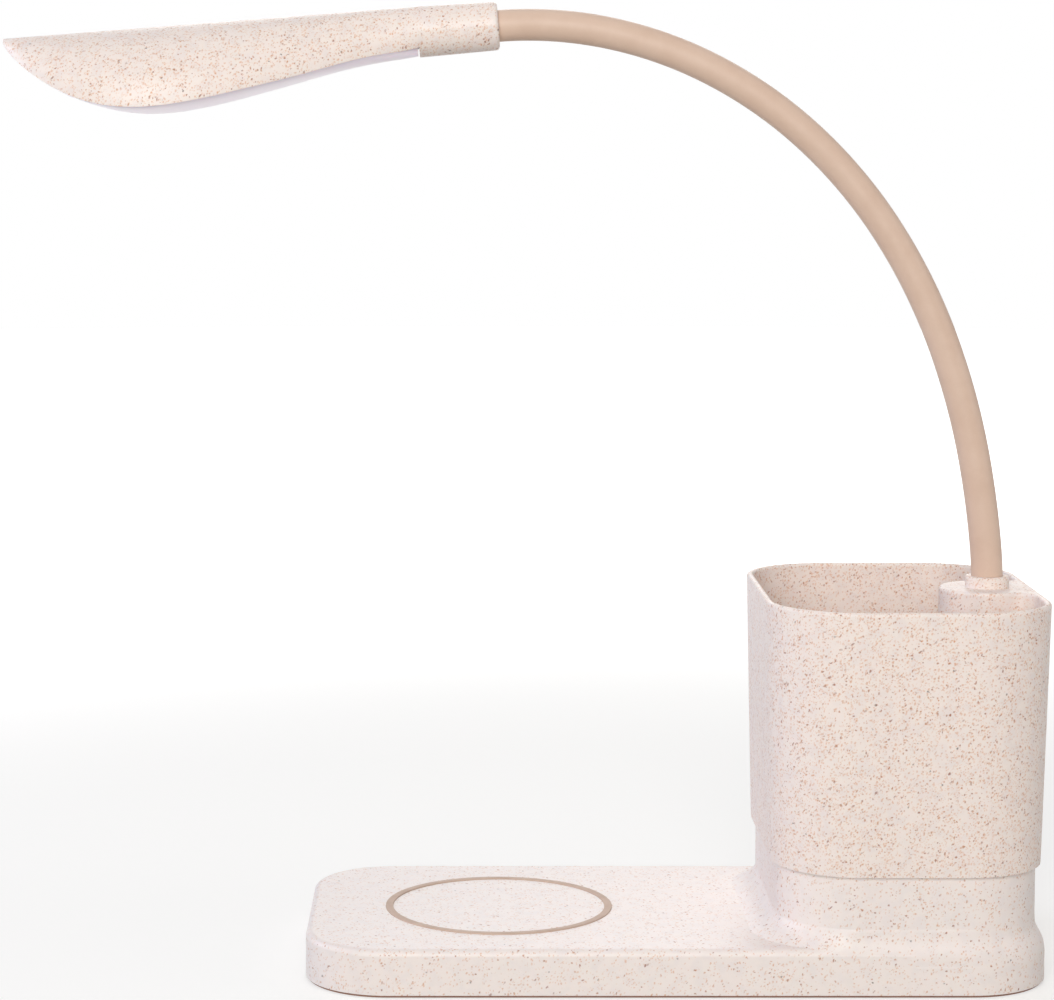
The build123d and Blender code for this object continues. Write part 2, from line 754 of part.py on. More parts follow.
spans = len(neck_steps)
neck_pieces = {}
for span in range(spans):
    first = span > 0
    last = span < spans - 1
    run_on = 0.0 if last else socket_depth
    sleeve_start = joint_relief(span - 1, sleeve_radius) if first else 0.0
    sleeve_end = neck_steps[span] - (joint_relief(span, sleeve_radius) if last else -run_on)
    core_start = joint_relief(span - 1, core_radius) if first else 0.0
    sleeve_tube = neck_bar(span, sleeve_start, sleeve_end, sleeve_radius, core_radius + slide_gap / 2)
    core_bar = neck_bar(span, core_start, neck_steps[span] + run_on, core_radius, 0)
    wire_channel = neck_bar(span, 0.0, neck_steps[span] + run_on, wire_bore, 0)
    socket_x, socket_z = neck_points[span]
    ball_x, ball_z = neck_points[span + 1]
    out = radians(neck_headings[span + 1])
    with BuildPart() as neck_sleeve:
        add(sleeve_tube)
    with BuildPart() as neck_core:
        add(core_bar)
        if last:
            with Locations((ball_x, 0, ball_z)):
                Sphere(core_radius)
            with BuildSketch(Plane((ball_x, 0, ball_z), z_dir=(cos(out), 0, sin(out)))):
                Circle(wire_bore)
            extrude(amount=core_radius, mode=Mode.SUBTRACT)
        if first:
            with Locations((socket_x, 0, socket_z)):
                Sphere(core_radius + running_gap, mode=Mode.SUBTRACT)
        add(wire_channel, mode=Mode.SUBTRACT)
    neck_pieces[f"neck_sleeve_{span}"] = neck_sleeve
    neck_pieces[f"neck_core_{span}"] = neck_core

# The head's own frame: X from the neck socket's mouth to the tip, Z towards the crown
head_frame = Plane(
    origin=(neck_end[0], 0, neck_end[1]),
    x_dir=(cos(head_heading), 0, sin(head_heading)),
    z_dir=(sin(head_heading), 0, -cos(head_heading)),
)


# A plane square to the head's axis, its own Y towards the crown
def head_section(x):
    return Plane(head_frame.from_local_coords((x, 0, 0)), x_dir=head_frame.y_dir, z_dir=head_frame.x_dir)


# A plane level with the head's crown line, at a depth below it, facing down
def head_level(depth):
    origin = head_frame.from_local_coords((0, 0, crown_height - depth))
    return Plane(origin, x_dir=head_frame.x_dir, z_dir=-head_frame.z_dir)


# An arched section of the cover: part of an ellipse over a flat rim, reaching below the rim by a spill
def arch(x, half_width, widest, rim, wall, spill):
    across = half_width - wall
    up = widest - wall
    dip = degrees(asin((rim - widest) / up))
    with BuildSketch(head_section(x)) as section:
        with BuildLine():
            top = EllipticalCenterArc(
                (0, crown_height - widest), across, up, start_angle=-dip, arc_size=half_turn + 2 * dip
            )
            if spill:
                foot = crown_height - rim - spill
                Polyline(top @ 1, ((top @ 1).X, foot), ((top @ 0).X, foot), top @ 0)
            else:
                Line(top @ 1, top @ 0)
        make_face()
    return section.sketch


# Half width of the cover's inside at its rim
def skirt_half(half_width, widest, rim):
    across = half_width - head_wall
    drop = (rim - widest) / (widest - head_wall)
    return across * sqrt(1 - drop ** 2)


hollow_stations = head_stations[:-2]
outer_arches = [arch(x, half, widest, rim, 0.0, 0.0) for x, half, widest, rim, low in head_stations]
inner_arches = [
    arch(x, half, widest, rim, head_wall, rim_spill) for x, half, widest, rim, low in hollow_stations
]
with BuildPart() as head_cover:
    loft(outer_arches)
    loft(inner_arches, mode=Mode.SUBTRACT)
    # neck socket: a tapered sleeve round the neck's end
    with BuildSketch(head_section(0)):
        Circle(mouth_radius)
    with BuildSketch(head_section(socket_length)):
        Circle(head_stations[0][1] + socket_step)
    loft()
    fillet(head_cover.edges().group_by(Axis.X)[-1], socket_round)
    with BuildSketch(head_section(0)):
        Circle(bore_radius)
    extrude(amount=head_bore_depth, mode=Mode.SUBTRACT)
    with BuildSketch(head_section(head_bore_depth)):
        Circle(head_stud_radius + slide_gap)
    extrude(amount=socket_web, mode=Mode.SUBTRACT)
    with BuildSketch(head_section(head_bore_depth + socket_web)):
        Circle(nut_chamber)
    extrude(amount=socket_length - head_bore_depth - socket_web, mode=Mode.SUBTRACT)
    # posts for the carrier screws, down from the crown
    with BuildSketch(head_level(carrier_post_root)):
        with Locations(*[(x, 0) for x in carrier_screw_x]):
            Circle(carrier_boss_radius)
    extrude(amount=carrier_depth - carrier_post_root)
    with BuildSketch(head_level(carrier_depth)):
        with Locations(*[(x, 0) for x in carrier_screw_x]):
            Circle(screw_radius)
    extrude(amount=-screw_length - slide_gap, mode=Mode.SUBTRACT)


# A cross section of the diffuser: straight skirt above the rim, a flat arc below it
def lens_section(x, half_width, widest, rim, low):
    half = skirt_half(half_width, widest, rim) - diffuser_side_gap
    top = crown_height - rim + diffuser_skirt
    with BuildSketch(head_section(x)) as section:
        with BuildLine():
            belly = EllipticalCenterArc(
                (0, crown_height - rim), half, low - rim, start_angle=half_turn, arc_size=half_turn
            )
            Polyline(belly @ 1, (half, top), (-half, top), belly @ 0)
        make_face()
    return section.sketch


first_x, last_x = hollow_stations[0][0] + diffuser_end_gap, hollow_stations[-1][0] - diffuser_end_gap
lens_x = [first_x] + [station[0] for station in hollow_stations[1:-1]] + [last_x]
with BuildPart() as diffuser:
    loft([lens_section(x, *station[1:]) for x, station in zip(lens_x, hollow_stations)])


# Half width of the hollow head at the carrier's level
def carrier_half(half_width, widest):
    rise = (widest - carrier_depth) / (widest - head_wall)
    return (half_width - head_wall) * sqrt(1 - rise ** 2) - carrier_gap


carrier_sides = [(x, carrier_half(half, widest)) for x, half, widest, rim, low in head_stations[2:-3]]
with BuildPart() as led_carrier:
    with BuildSketch(head_level(carrier_depth)):
        with BuildLine():
            side_line = Spline(*carrier_sides)
            far_line = Spline(*[(x, -half) for x, half in carrier_sides])
            Line(side_line @ 0, far_line @ 0)
            Line(side_line @ 1, far_line @ 1)
        make_face()
        with Locations(*[(x, 0) for x in carrier_screw_x]):
            Circle(screw_radius + slide_gap, mode=Mode.SUBTRACT)
    extrude(amount=carrier_thickness)

board_depth = carrier_depth + carrier_thickness
with BuildPart() as led_board:
    with BuildSketch(head_level(board_depth)):
        with Locations((led_board_x, 0)):
            RectangleRounded(led_board_length, led_board_width, led_board_corner)
        with Locations(*[(x, 0) for x in carrier_screw_x]):
            Circle(screw_radius + slide_gap, mode=Mode.SUBTRACT)
    extrude(amount=led_board_thickness)

chip_depth = board_depth + led_board_thickness
with BuildPart() as led_chips:
    with BuildSketch(head_level(chip_depth)):
        with Locations((led_board_x, 0)):
            with GridLocations(led_pitch, led_row_gap, led_columns, 2):
                Rectangle(led_size, led_size)
    extrude(amount=led_height)

with BuildPart() as carrier_screws:
    with BuildSketch(head_level(chip_depth)):
        with Locations(*[(x, 0) for x in carrier_screw_x]):
            Circle(screw_head_radius)
    extrude(amount=screw_head_height)
    with BuildSketch(head_level(chip_depth)):
        with Locations(*[(x, 0) for x in carrier_screw_x]):
            Circle(screw_radius - thread_gap)
    extrude(amount=-led_board_thickness - carrier_thickness - screw_length)

with BuildPart() as led_socket:
    with BuildSketch(head_level(carrier_depth)):
        with Locations((led_socket_x + led_socket_length / 2, 0)):
            Rectangle(led_socket_length, led_socket_width)
    extrude(amount=-led_socket_height)

# Upper end of the neck: ferrule in the socket's bore, nut behind its web, leads to the carrier
with BuildPart() as neck_ferrule_upper:
    with BuildSketch(head_section(socket_depth + seat_gap)):
        Circle(sleeve_radius)
    extrude(amount=head_bore_depth - socket_depth - seat_gap)
    with BuildSketch(head_section(head_bore_depth)):
        Circle(head_stud_radius)
    extrude(amount=head_stud_length)
    with BuildSketch(head_section(socket_depth)):
        Circle(wire_bore)
    extrude(amount=head_bore_depth + head_stud_length, mode=Mode.SUBTRACT)

with BuildPart() as neck_nut_upper:
    with BuildSketch(head_section(head_bore_depth + socket_web)):
        RegularPolygon(head_nut_size / 2, 6, major_radius=False)
        Circle(head_stud_radius + thread_gap, mode=Mode.SUBTRACT)
    extrude(amount=head_nut_height)

led_lead_start = head_bore_depth + head_stud_length
with BuildPart() as led_leads:
    with BuildSketch(head_section(led_lead_start)):
        with Locations((lead_spread, 0), (-lead_spread, 0)):
            Circle(lead_radius)
    extrude(amount=led_socket_x - led_lead_start)

pieces = {
    "lower_housing": lower_housing,
    "anti_slip_ring": anti_slip_ring,
    "bottom_cover": bottom_cover,
    "base_pad": base_pad,
    "cover_screws": cover_screws,
    "ballast_plate": ballast_plate,
    "charging_coil": charging_coil,
    "coil_ferrite": coil_ferrite,
    "charging_board": charging_board,
    "charging_board_screws": charging_board_screws,
    "main_board": main_board,
    "board_screws": board_screws,
    "board_parts": board_parts,
    "usb_c_port": usb_c_port,
    "power_button": power_button,
    "switch_plunger": switch_plunger,
    "tact_switch": tact_switch,
    "pen_cup": pen_cup,
    "cup_screws": cup_screws,
    "neck_ferrule_lower": neck_ferrule_lower,
    "neck_nut_lower": neck_nut_lower,
    "lamp_leads": lamp_leads,
    "charging_leads": charging_leads,
    "coil_tails": coil_tails,
    **neck_pieces,
    "neck_ferrule_upper": neck_ferrule_upper,
    "neck_nut_upper": neck_nut_upper,
    "led_leads": led_leads,
    "led_socket": led_socket,
    "head_cover": head_cover,
    "diffuser": diffuser,
    "led_carrier": led_carrier,
    "led_board": led_board,
    "led_chips": led_chips,
    "carrier_screws": carrier_screws,
}
for name, piece in pieces.items():
    piece.part.label = name
    export_step(piece.part, f"parts/{name}.step")
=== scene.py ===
import json
from math import cos, pi, radians, sin

import bmesh
import bpy
from mathutils import Matrix, Vector


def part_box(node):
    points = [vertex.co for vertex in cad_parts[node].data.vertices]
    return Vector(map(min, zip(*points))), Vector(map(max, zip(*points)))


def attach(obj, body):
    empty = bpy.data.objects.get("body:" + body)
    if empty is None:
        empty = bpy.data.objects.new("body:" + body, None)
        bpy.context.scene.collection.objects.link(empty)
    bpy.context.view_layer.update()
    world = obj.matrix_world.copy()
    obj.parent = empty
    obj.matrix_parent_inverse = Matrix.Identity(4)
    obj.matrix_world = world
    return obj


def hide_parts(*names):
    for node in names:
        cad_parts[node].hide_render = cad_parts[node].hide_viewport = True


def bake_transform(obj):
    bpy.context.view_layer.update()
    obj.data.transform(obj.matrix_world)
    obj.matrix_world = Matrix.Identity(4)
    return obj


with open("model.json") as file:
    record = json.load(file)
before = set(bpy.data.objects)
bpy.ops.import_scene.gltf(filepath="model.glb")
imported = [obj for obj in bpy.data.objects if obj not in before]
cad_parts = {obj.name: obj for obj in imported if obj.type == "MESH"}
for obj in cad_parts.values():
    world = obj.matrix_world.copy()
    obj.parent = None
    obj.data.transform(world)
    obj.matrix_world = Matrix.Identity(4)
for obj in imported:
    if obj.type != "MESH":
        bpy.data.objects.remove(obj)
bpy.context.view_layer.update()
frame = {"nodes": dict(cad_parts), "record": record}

scene = bpy.context.scene
scene.view_settings.view_transform = "Standard"
mm = 0.001
print("frame loaded:", len(frame["nodes"]), "nodes")


# Nodes and groups

def paint(red, green, blue):  # screen colour, 0 to 255, as the linear colour that nodes take
    level = [value / 255 for value in (red, green, blue)]
    return [v / 12.92 if v <= 0.04045 else ((v + 0.055) / 1.055) ** 2.4 for v in level] + [1.0]


def put(tree, kind, values=None, **settings):  # a node with its settings, its inputs linked or filled
    node = tree.nodes.new("ShaderNode" + kind)
    for name, value in settings.items():
        setattr(node, name, value)
    for name, value in (values or {}).items():
        socket = node.inputs[name]
        if isinstance(value, bpy.types.NodeSocket):
            tree.links.new(value, socket)
        else:
            socket.default_value = value
    return node


def calc(tree, operation, first, second=0.0):
    return put(tree, "Math", {0: first, 1: second}, operation=operation).outputs[0]


def mixColour(tree, share, first, second):
    return put(tree, "Mix", {0: share, 6: first, 7: second}, data_type="RGBA").outputs[2]


def ramp(tree, value, fromLow, fromHigh, toLow=0.0, toHigh=1.0, smooth=True):
    values = {"Value": value, "From Min": fromLow, "From Max": fromHigh, "To Min": toLow, "To Max": toHigh}
    return put(tree, "MapRange", values, interpolation_type="SMOOTHSTEP" if smooth else "LINEAR").outputs[0]


def noise(tree, place, **values):  # three-dimensional noise as one number
    return put(tree, "TexNoise", {"Vector": place, **values}).outputs["Fac"]


def oneOver(tree, value):
    return calc(tree, "DIVIDE", 1.0, value)


def blendOf(tree, first, firstShare, second, secondShare):  # two numbers added in their shares
    firstPart = calc(tree, "MULTIPLY", first, firstShare)
    return calc(tree, "ADD", firstPart, calc(tree, "MULTIPLY", second, secondShare))


def newGroup(name, inputs):
    group = bpy.data.node_groups.new(name, "ShaderNodeTree")
    for label, kind, value in inputs:
        socket = group.interface.new_socket(label, in_out="INPUT", socket_type="NodeSocket" + kind)
        if value is not None:
            socket.default_value = value
    for label, kind in (("Colour", "Color"), ("Roughness", "Float"), ("Height", "Float")):
        group.interface.new_socket(label, in_out="OUTPUT", socket_type="NodeSocket" + kind)
    return group, group.nodes.new("NodeGroupInput").outputs, group.nodes.new("NodeGroupOutput").inputs


def handOver(tree, result, colour, roughness, height):  # what every skin group puts out
    for label, value in (("Colour", colour), ("Roughness", roughness), ("Height", height)):
        tree.links.new(value, result[label])
    return tree


def inMillimetres(tree, coordinates):
    return put(tree, "VectorMath", {0: coordinates, "Scale": 1 / mm}, operation="SCALE").outputs[0]


# Straw flecks in pale moulded plastic, sizes in millimetres. A noise range is its low and high value and
# what they turn into. A layer is its cell size, stretch, slant, smallest and largest radius in cells,
# share of cells that hold a fleck, and opacity low and high
fleckValues = {
    "patchSize": 4.2,
    "coolSize": 3.2,
    "warpSize": 0.60,
    "warp": 0.62,
    "strawShare": 2.6,
    "thickRange": (0.34, 0.66, 0.45, 1.40),
    "coolRange": (0.42, 0.68),
    "edgeRange": (0.35, 1.15, 1.0, 0.0),
    "skinScales": (2.2, 0.35),
    "skinHeights": (0.35, 1.2),
    "roughRange": (0.3, 0.7, 0.38, 0.48),
    "raisedRoughness": 0.12,
    "raisedHeight": 0.25,
    "dust": (0.55, 1.5, (0.2, 0.7, 0.9), 0.24, 0.55, 0.95, 0.20, 0.60),
    "grains": [
        (0.85, 2.4, (0.5, 0.2, 0.0), 0.15, 0.36, 0.82, 0.40, 0.85),
        (0.95, 2.2, (1.3, 0.9, 0.4), 0.15, 0.35, 0.82, 0.40, 0.85),
        (0.75, 2.3, (0.4, 1.5, 1.1), 0.14, 0.34, 0.75, 0.35, 0.85),
    ],
    "flakes": (1.50, 3.0, (0.9, 0.4, 0.6), 0.10, 0.22, 0.50, 0.45, 0.85),
    "specks": (2.80, 1.5, (1.1, 0.3, 0.2), 0.06, 0.13, 0.50, 0.50, 0.90),
}


def fleckLayer(tree, coordinates, amount, layer):
    size, stretch, slant, small, large, share, faint, strong = layer
    cellSize = (size, size, size * stretch)
    turned = put(tree, "Mapping", {"Vector": coordinates, "Rotation": slant, "Scale": cellSize},
                 vector_type="TEXTURE").outputs[0]
    cells = put(tree, "TexVoronoi", {"Vector": turned, "Scale": 1.0})
    pick = put(tree, "SeparateColor", {0: cells.outputs["Color"]}).outputs
    reach = ramp(tree, pick[0], 0.0, 1.0, small, large, smooth=False)
    inside = ramp(tree, calc(tree, "DIVIDE", cells.outputs["Distance"], reach), *fleckValues["edgeRange"])
    present = calc(tree, "LESS_THAN", pick[1], calc(tree, "MULTIPLY", amount, share))
    opacity = ramp(tree, pick[2], 0.0, 1.0, faint, strong, smooth=False)
    return calc(tree, "MULTIPLY", calc(tree, "MULTIPLY", inside, present), opacity), pick[2]


def makeStrawFlecks():
    tree, given, result = newGroup("strawFlecks", [
        ("Coordinates", "Vector", None), ("Body Colour", "Color", None), ("Cool Colour", "Color", None),
        ("Straw Colour", "Color", None), ("Husk Colour", "Color", None), ("Speck Colour", "Color", None),
        ("Fleck Amount", "Float", 1.0), ("Cool Amount", "Float", 0.5), ("Speck Amount", "Float", 1.0),
    ])
    place = inMillimetres(tree, given["Coordinates"])
    warpNoise = put(tree, "TexNoise", {"Vector": place, "Scale": 1 / fleckValues["warpSize"], "Detail": 2.0})
    centred = put(tree, "VectorMath", {0: warpNoise.outputs["Color"], 1: (0.5, 0.5, 0.5)},
                  operation="SUBTRACT").outputs[0]
    offset = put(tree, "VectorMath", {0: centred, "Scale": fleckValues["warp"]}, operation="SCALE").outputs[0]
    warped = put(tree, "VectorMath", {0: place, 1: offset}, operation="ADD").outputs[0]
    patches = noise(tree, place, Scale=1 / fleckValues["patchSize"], Detail=3.0)
    amount = calc(tree, "MULTIPLY", ramp(tree, patches, *fleckValues["thickRange"]), given["Fleck Amount"])
    coolNoise = noise(tree, place, Scale=1 / fleckValues["coolSize"], Detail=4.0)
    cool = calc(tree, "MULTIPLY", ramp(tree, coolNoise, *fleckValues["coolRange"]), given["Cool Amount"])
    colour = mixColour(tree, cool, given["Body Colour"], given["Cool Colour"])
    dust = fleckLayer(tree, warped, amount, fleckValues["dust"])[0]
    colour = mixColour(tree, dust, colour, given["Straw Colour"])
    raised = dust
    for layer in fleckValues["grains"]:
        grain, pick = fleckLayer(tree, warped, amount, layer)
        deep = calc(tree, "POWER", pick, fleckValues["strawShare"])
        grainColour = mixColour(tree, deep, given["Straw Colour"], given["Husk Colour"])
        colour = mixColour(tree, grain, colour, grainColour)
        raised = calc(tree, "MAXIMUM", raised, grain)
    flake = fleckLayer(tree, warped, amount, fleckValues["flakes"])[0]
    colour = mixColour(tree, flake, colour, given["Husk Colour"])
    speck = fleckLayer(tree, warped, given["Speck Amount"], fleckValues["specks"])[0]
    colour = mixColour(tree, speck, colour, given["Speck Colour"])
    fineScale, broadScale = fleckValues["skinScales"]
    fine = noise(tree, place, Scale=fineScale, Detail=3.0)
    broad = noise(tree, place, Scale=broadScale, Detail=1.0)
    fineHeight, broadHeight = fleckValues["skinHeights"]
    skin = blendOf(tree, fine, fineHeight, broad, broadHeight)
    raisedRoughness = calc(tree, "MULTIPLY", raised, fleckValues["raisedRoughness"])
    raisedHeight = calc(tree, "MULTIPLY", raised, fleckValues["raisedHeight"])
    roughness = calc(tree, "ADD", ramp(tree, fine, *fleckValues["roughRange"]), raisedRoughness)
    return handOver(tree, result, colour, roughness, calc(tree, "ADD", skin, raisedHeight))


# Plain moulded or rubber skin: mottled tone, matt grain
mouldedValues = {
    "toneRange": (0.35, 0.7),
    "grainTone": (-0.04, 0.08),
    "roughRange": (0.35, 0.65),
    "grainShare": 0.5,
    "mottleHeight": 0.6,
}


def makeMouldedSkin():
    tree, given, result = newGroup("mouldedSkin", [
        ("Coordinates", "Vector", None), ("Body Colour", "Color", None), ("Shade Colour", "Color", None),
        ("Grain Size", "Float", 0.4), ("Mottle Size", "Float", 6.0), ("Mottle Amount", "Float", 0.5),
        ("Smoothest", "Float", 0.4), ("Roughest", "Float", 0.6),
    ])
    place = inMillimetres(tree, given["Coordinates"])
    mottle = noise(tree, place, Scale=oneOver(tree, given["Mottle Size"]), Detail=4.0, Roughness=0.6)
    grain = noise(tree, place, Scale=oneOver(tree, given["Grain Size"]), Detail=3.0)
    tone = calc(tree, "MULTIPLY", ramp(tree, mottle, *mouldedValues["toneRange"]), given["Mottle Amount"])
    grainTone = ramp(tree, grain, *mouldedValues["toneRange"], *mouldedValues["grainTone"])
    tone = calc(tree, "ADD", tone, grainTone)
    colour = mixColour(tree, tone, given["Body Colour"], given["Shade Colour"])
    level = blendOf(tree, mottle, 1 - mouldedValues["grainShare"], grain, mouldedValues["grainShare"])
    roughness = ramp(tree, level, *mouldedValues["roughRange"], given["Smoothest"], given["Roughest"],
                     smooth=False)
    height = calc(tree, "ADD", grain, calc(tree, "MULTIPLY", mottle, mouldedValues["mottleHeight"]))
    return handOver(tree, result, colour, roughness, height)


# Metal: fine lines along one direction, tarnish in soft patches
metalValues = {"tarnishRange": (0.4, 0.7), "roughRange": (0.35, 0.65), "lineShare": 0.6}


def makeMetalSkin():
    tree, given, result = newGroup("metalSkin", [
        ("Coordinates", "Vector", None), ("Body Colour", "Color", None), ("Tarnish Colour", "Color", None),
        ("Line Size", "Vector", (0.08, 2.0, 2.0)), ("Tarnish Size", "Float", 5.0),
        ("Tarnish Amount", "Float", 0.35), ("Smoothest", "Float", 0.22), ("Roughest", "Float", 0.42),
    ])
    place = inMillimetres(tree, given["Coordinates"])
    stretched = put(tree, "VectorMath", {0: place, 1: given["Line Size"]}, operation="DIVIDE").outputs[0]
    lines = noise(tree, stretched, Scale=1.0, Detail=3.0)
    patches = noise(tree, place, Scale=oneOver(tree, given["Tarnish Size"]), Detail=4.0)
    dull = calc(tree, "MULTIPLY", ramp(tree, patches, *metalValues["tarnishRange"]), given["Tarnish Amount"])
    colour = mixColour(tree, dull, given["Body Colour"], given["Tarnish Colour"])
    level = blendOf(tree, lines, metalValues["lineShare"], patches, 1 - metalValues["lineShare"])
    roughness = ramp(tree, level, *metalValues["roughRange"], given["Smoothest"], given["Roughest"],
                     smooth=False)
    return handOver(tree, result, colour, roughness, lines)


# Circuit board: copper runs under the mask, and pads
boardValues = {
    "padRandomness": 0.75,
    "runRandomness": 0.9,
    "runScale": 0.5,
    "runsPerCell": 4.0,
    "runRange": (0.35, 0.45),
    "runShare": 0.6,
    "padRange": (0.16, 0.20, 1.0, 0.0),
    "maskRoughness": 0.42,
    "padSmoothing": 0.14,
}


def makeBoardSkin():
    tree, given, result = newGroup("boardSkin", [
        ("Coordinates", "Vector", None), ("Mask Colour", "Color", None), ("Run Colour", "Color", None),
        ("Pad Colour", "Color", None), ("Run Pitch", "Float", 1.6),
    ])
    place = inMillimetres(tree, given["Coordinates"])
    scaled = put(tree, "VectorMath", {0: place, "Scale": oneOver(tree, given["Run Pitch"])},
                 operation="SCALE").outputs[0]
    padCells = put(tree, "TexVoronoi", {"Vector": scaled, "Scale": 1.0,
                                        "Randomness": boardValues["padRandomness"]}, distance="MANHATTAN")
    runCells = put(tree, "TexVoronoi", {"Vector": scaled, "Scale": boardValues["runScale"],
                                        "Randomness": boardValues["runRandomness"]}, distance="CHEBYCHEV")
    steps = calc(tree, "MULTIPLY", runCells.outputs["Distance"], boardValues["runsPerCell"])
    runs = ramp(tree, calc(tree, "PINGPONG", steps, 1.0), *boardValues["runRange"])
    pads = ramp(tree, padCells.outputs["Distance"], *boardValues["padRange"])
    runTone = calc(tree, "MULTIPLY", runs, boardValues["runShare"])
    colour = mixColour(tree, pads, mixColour(tree, runTone, given["Mask Colour"], given["Run Colour"]),
                       given["Pad Colour"])
    smoothing = calc(tree, "MULTIPLY", pads, boardValues["padSmoothing"])
    roughness = calc(tree, "SUBTRACT", boardValues["maskRoughness"], smoothing)
    return handOver(tree, result, colour, roughness, calc(tree, "ADD", runs, pads))


# Wound wire: ridges on circles round an upright axis
wireValues = {"crestRange": (0.05, 0.4), "roughRange": (0.0, 1.0, 0.5, 0.28)}


def makeWireTurns():
    tree, given, result = newGroup("wireTurns", [
        ("Coordinates", "Vector", None), ("Wire Colour", "Color", None), ("Gap Colour", "Color", None),
        ("Turn Pitch", "Float", 0.6),
    ])
    place = inMillimetres(tree, given["Coordinates"])
    flat = put(tree, "VectorMath", {0: place, 1: (1.0, 1.0, 0.0)}, operation="MULTIPLY").outputs[0]
    away = put(tree, "VectorMath", {0: flat}, operation="LENGTH").outputs["Value"]
    ridge = calc(tree, "PINGPONG", calc(tree, "DIVIDE", away, given["Turn Pitch"]), 0.5)
    crest = ramp(tree, ridge, *wireValues["crestRange"])
    colour = mixColour(tree, crest, given["Gap Colour"], given["Wire Colour"])
    return handOver(tree, result, colour, ramp(tree, crest, *wireValues["roughRange"]), crest)


groups = {"strawFlecks": makeStrawFlecks(), "mouldedSkin": makeMouldedSkin(), "metalSkin": makeMetalSkin(),
          "boardSkin": makeBoardSkin(), "wireTurns": makeWireTurns()}


reliefStrength = 0.6


def makeMaterial(name, effect, values, shader, bump, centre):
    material = bpy.data.materials.new(name)
    material.use_nodes = True
    tree = material.node_tree
    tree.nodes.clear()
    where = put(tree, "TexCoord").outputs["Object"]
    if any(centre):
        where = put(tree, "Mapping", {"Vector": where, "Location": [-c for c in centre]}).outputs[0]
    skin = put(tree, "Group")
    skin.node_tree = groups[effect]
    tree.links.new(where, skin.inputs["Coordinates"])
    for label, value in values.items():
        skin.inputs[label].default_value = value
    relief = put(tree, "Bump", {"Height": skin.outputs["Height"], "Strength": reliefStrength,
                                "Distance": bump * mm})
    surface = put(tree, "BsdfPrincipled", {"Base Color": skin.outputs["Colour"], "Normal": relief.outputs[0],
                                           "Roughness": skin.outputs["Roughness"]})
    for label, value in shader.items():
        surface.inputs[label].default_value = value
    put(tree, "OutputMaterial", {"Surface": surface.outputs[0]})
    return material


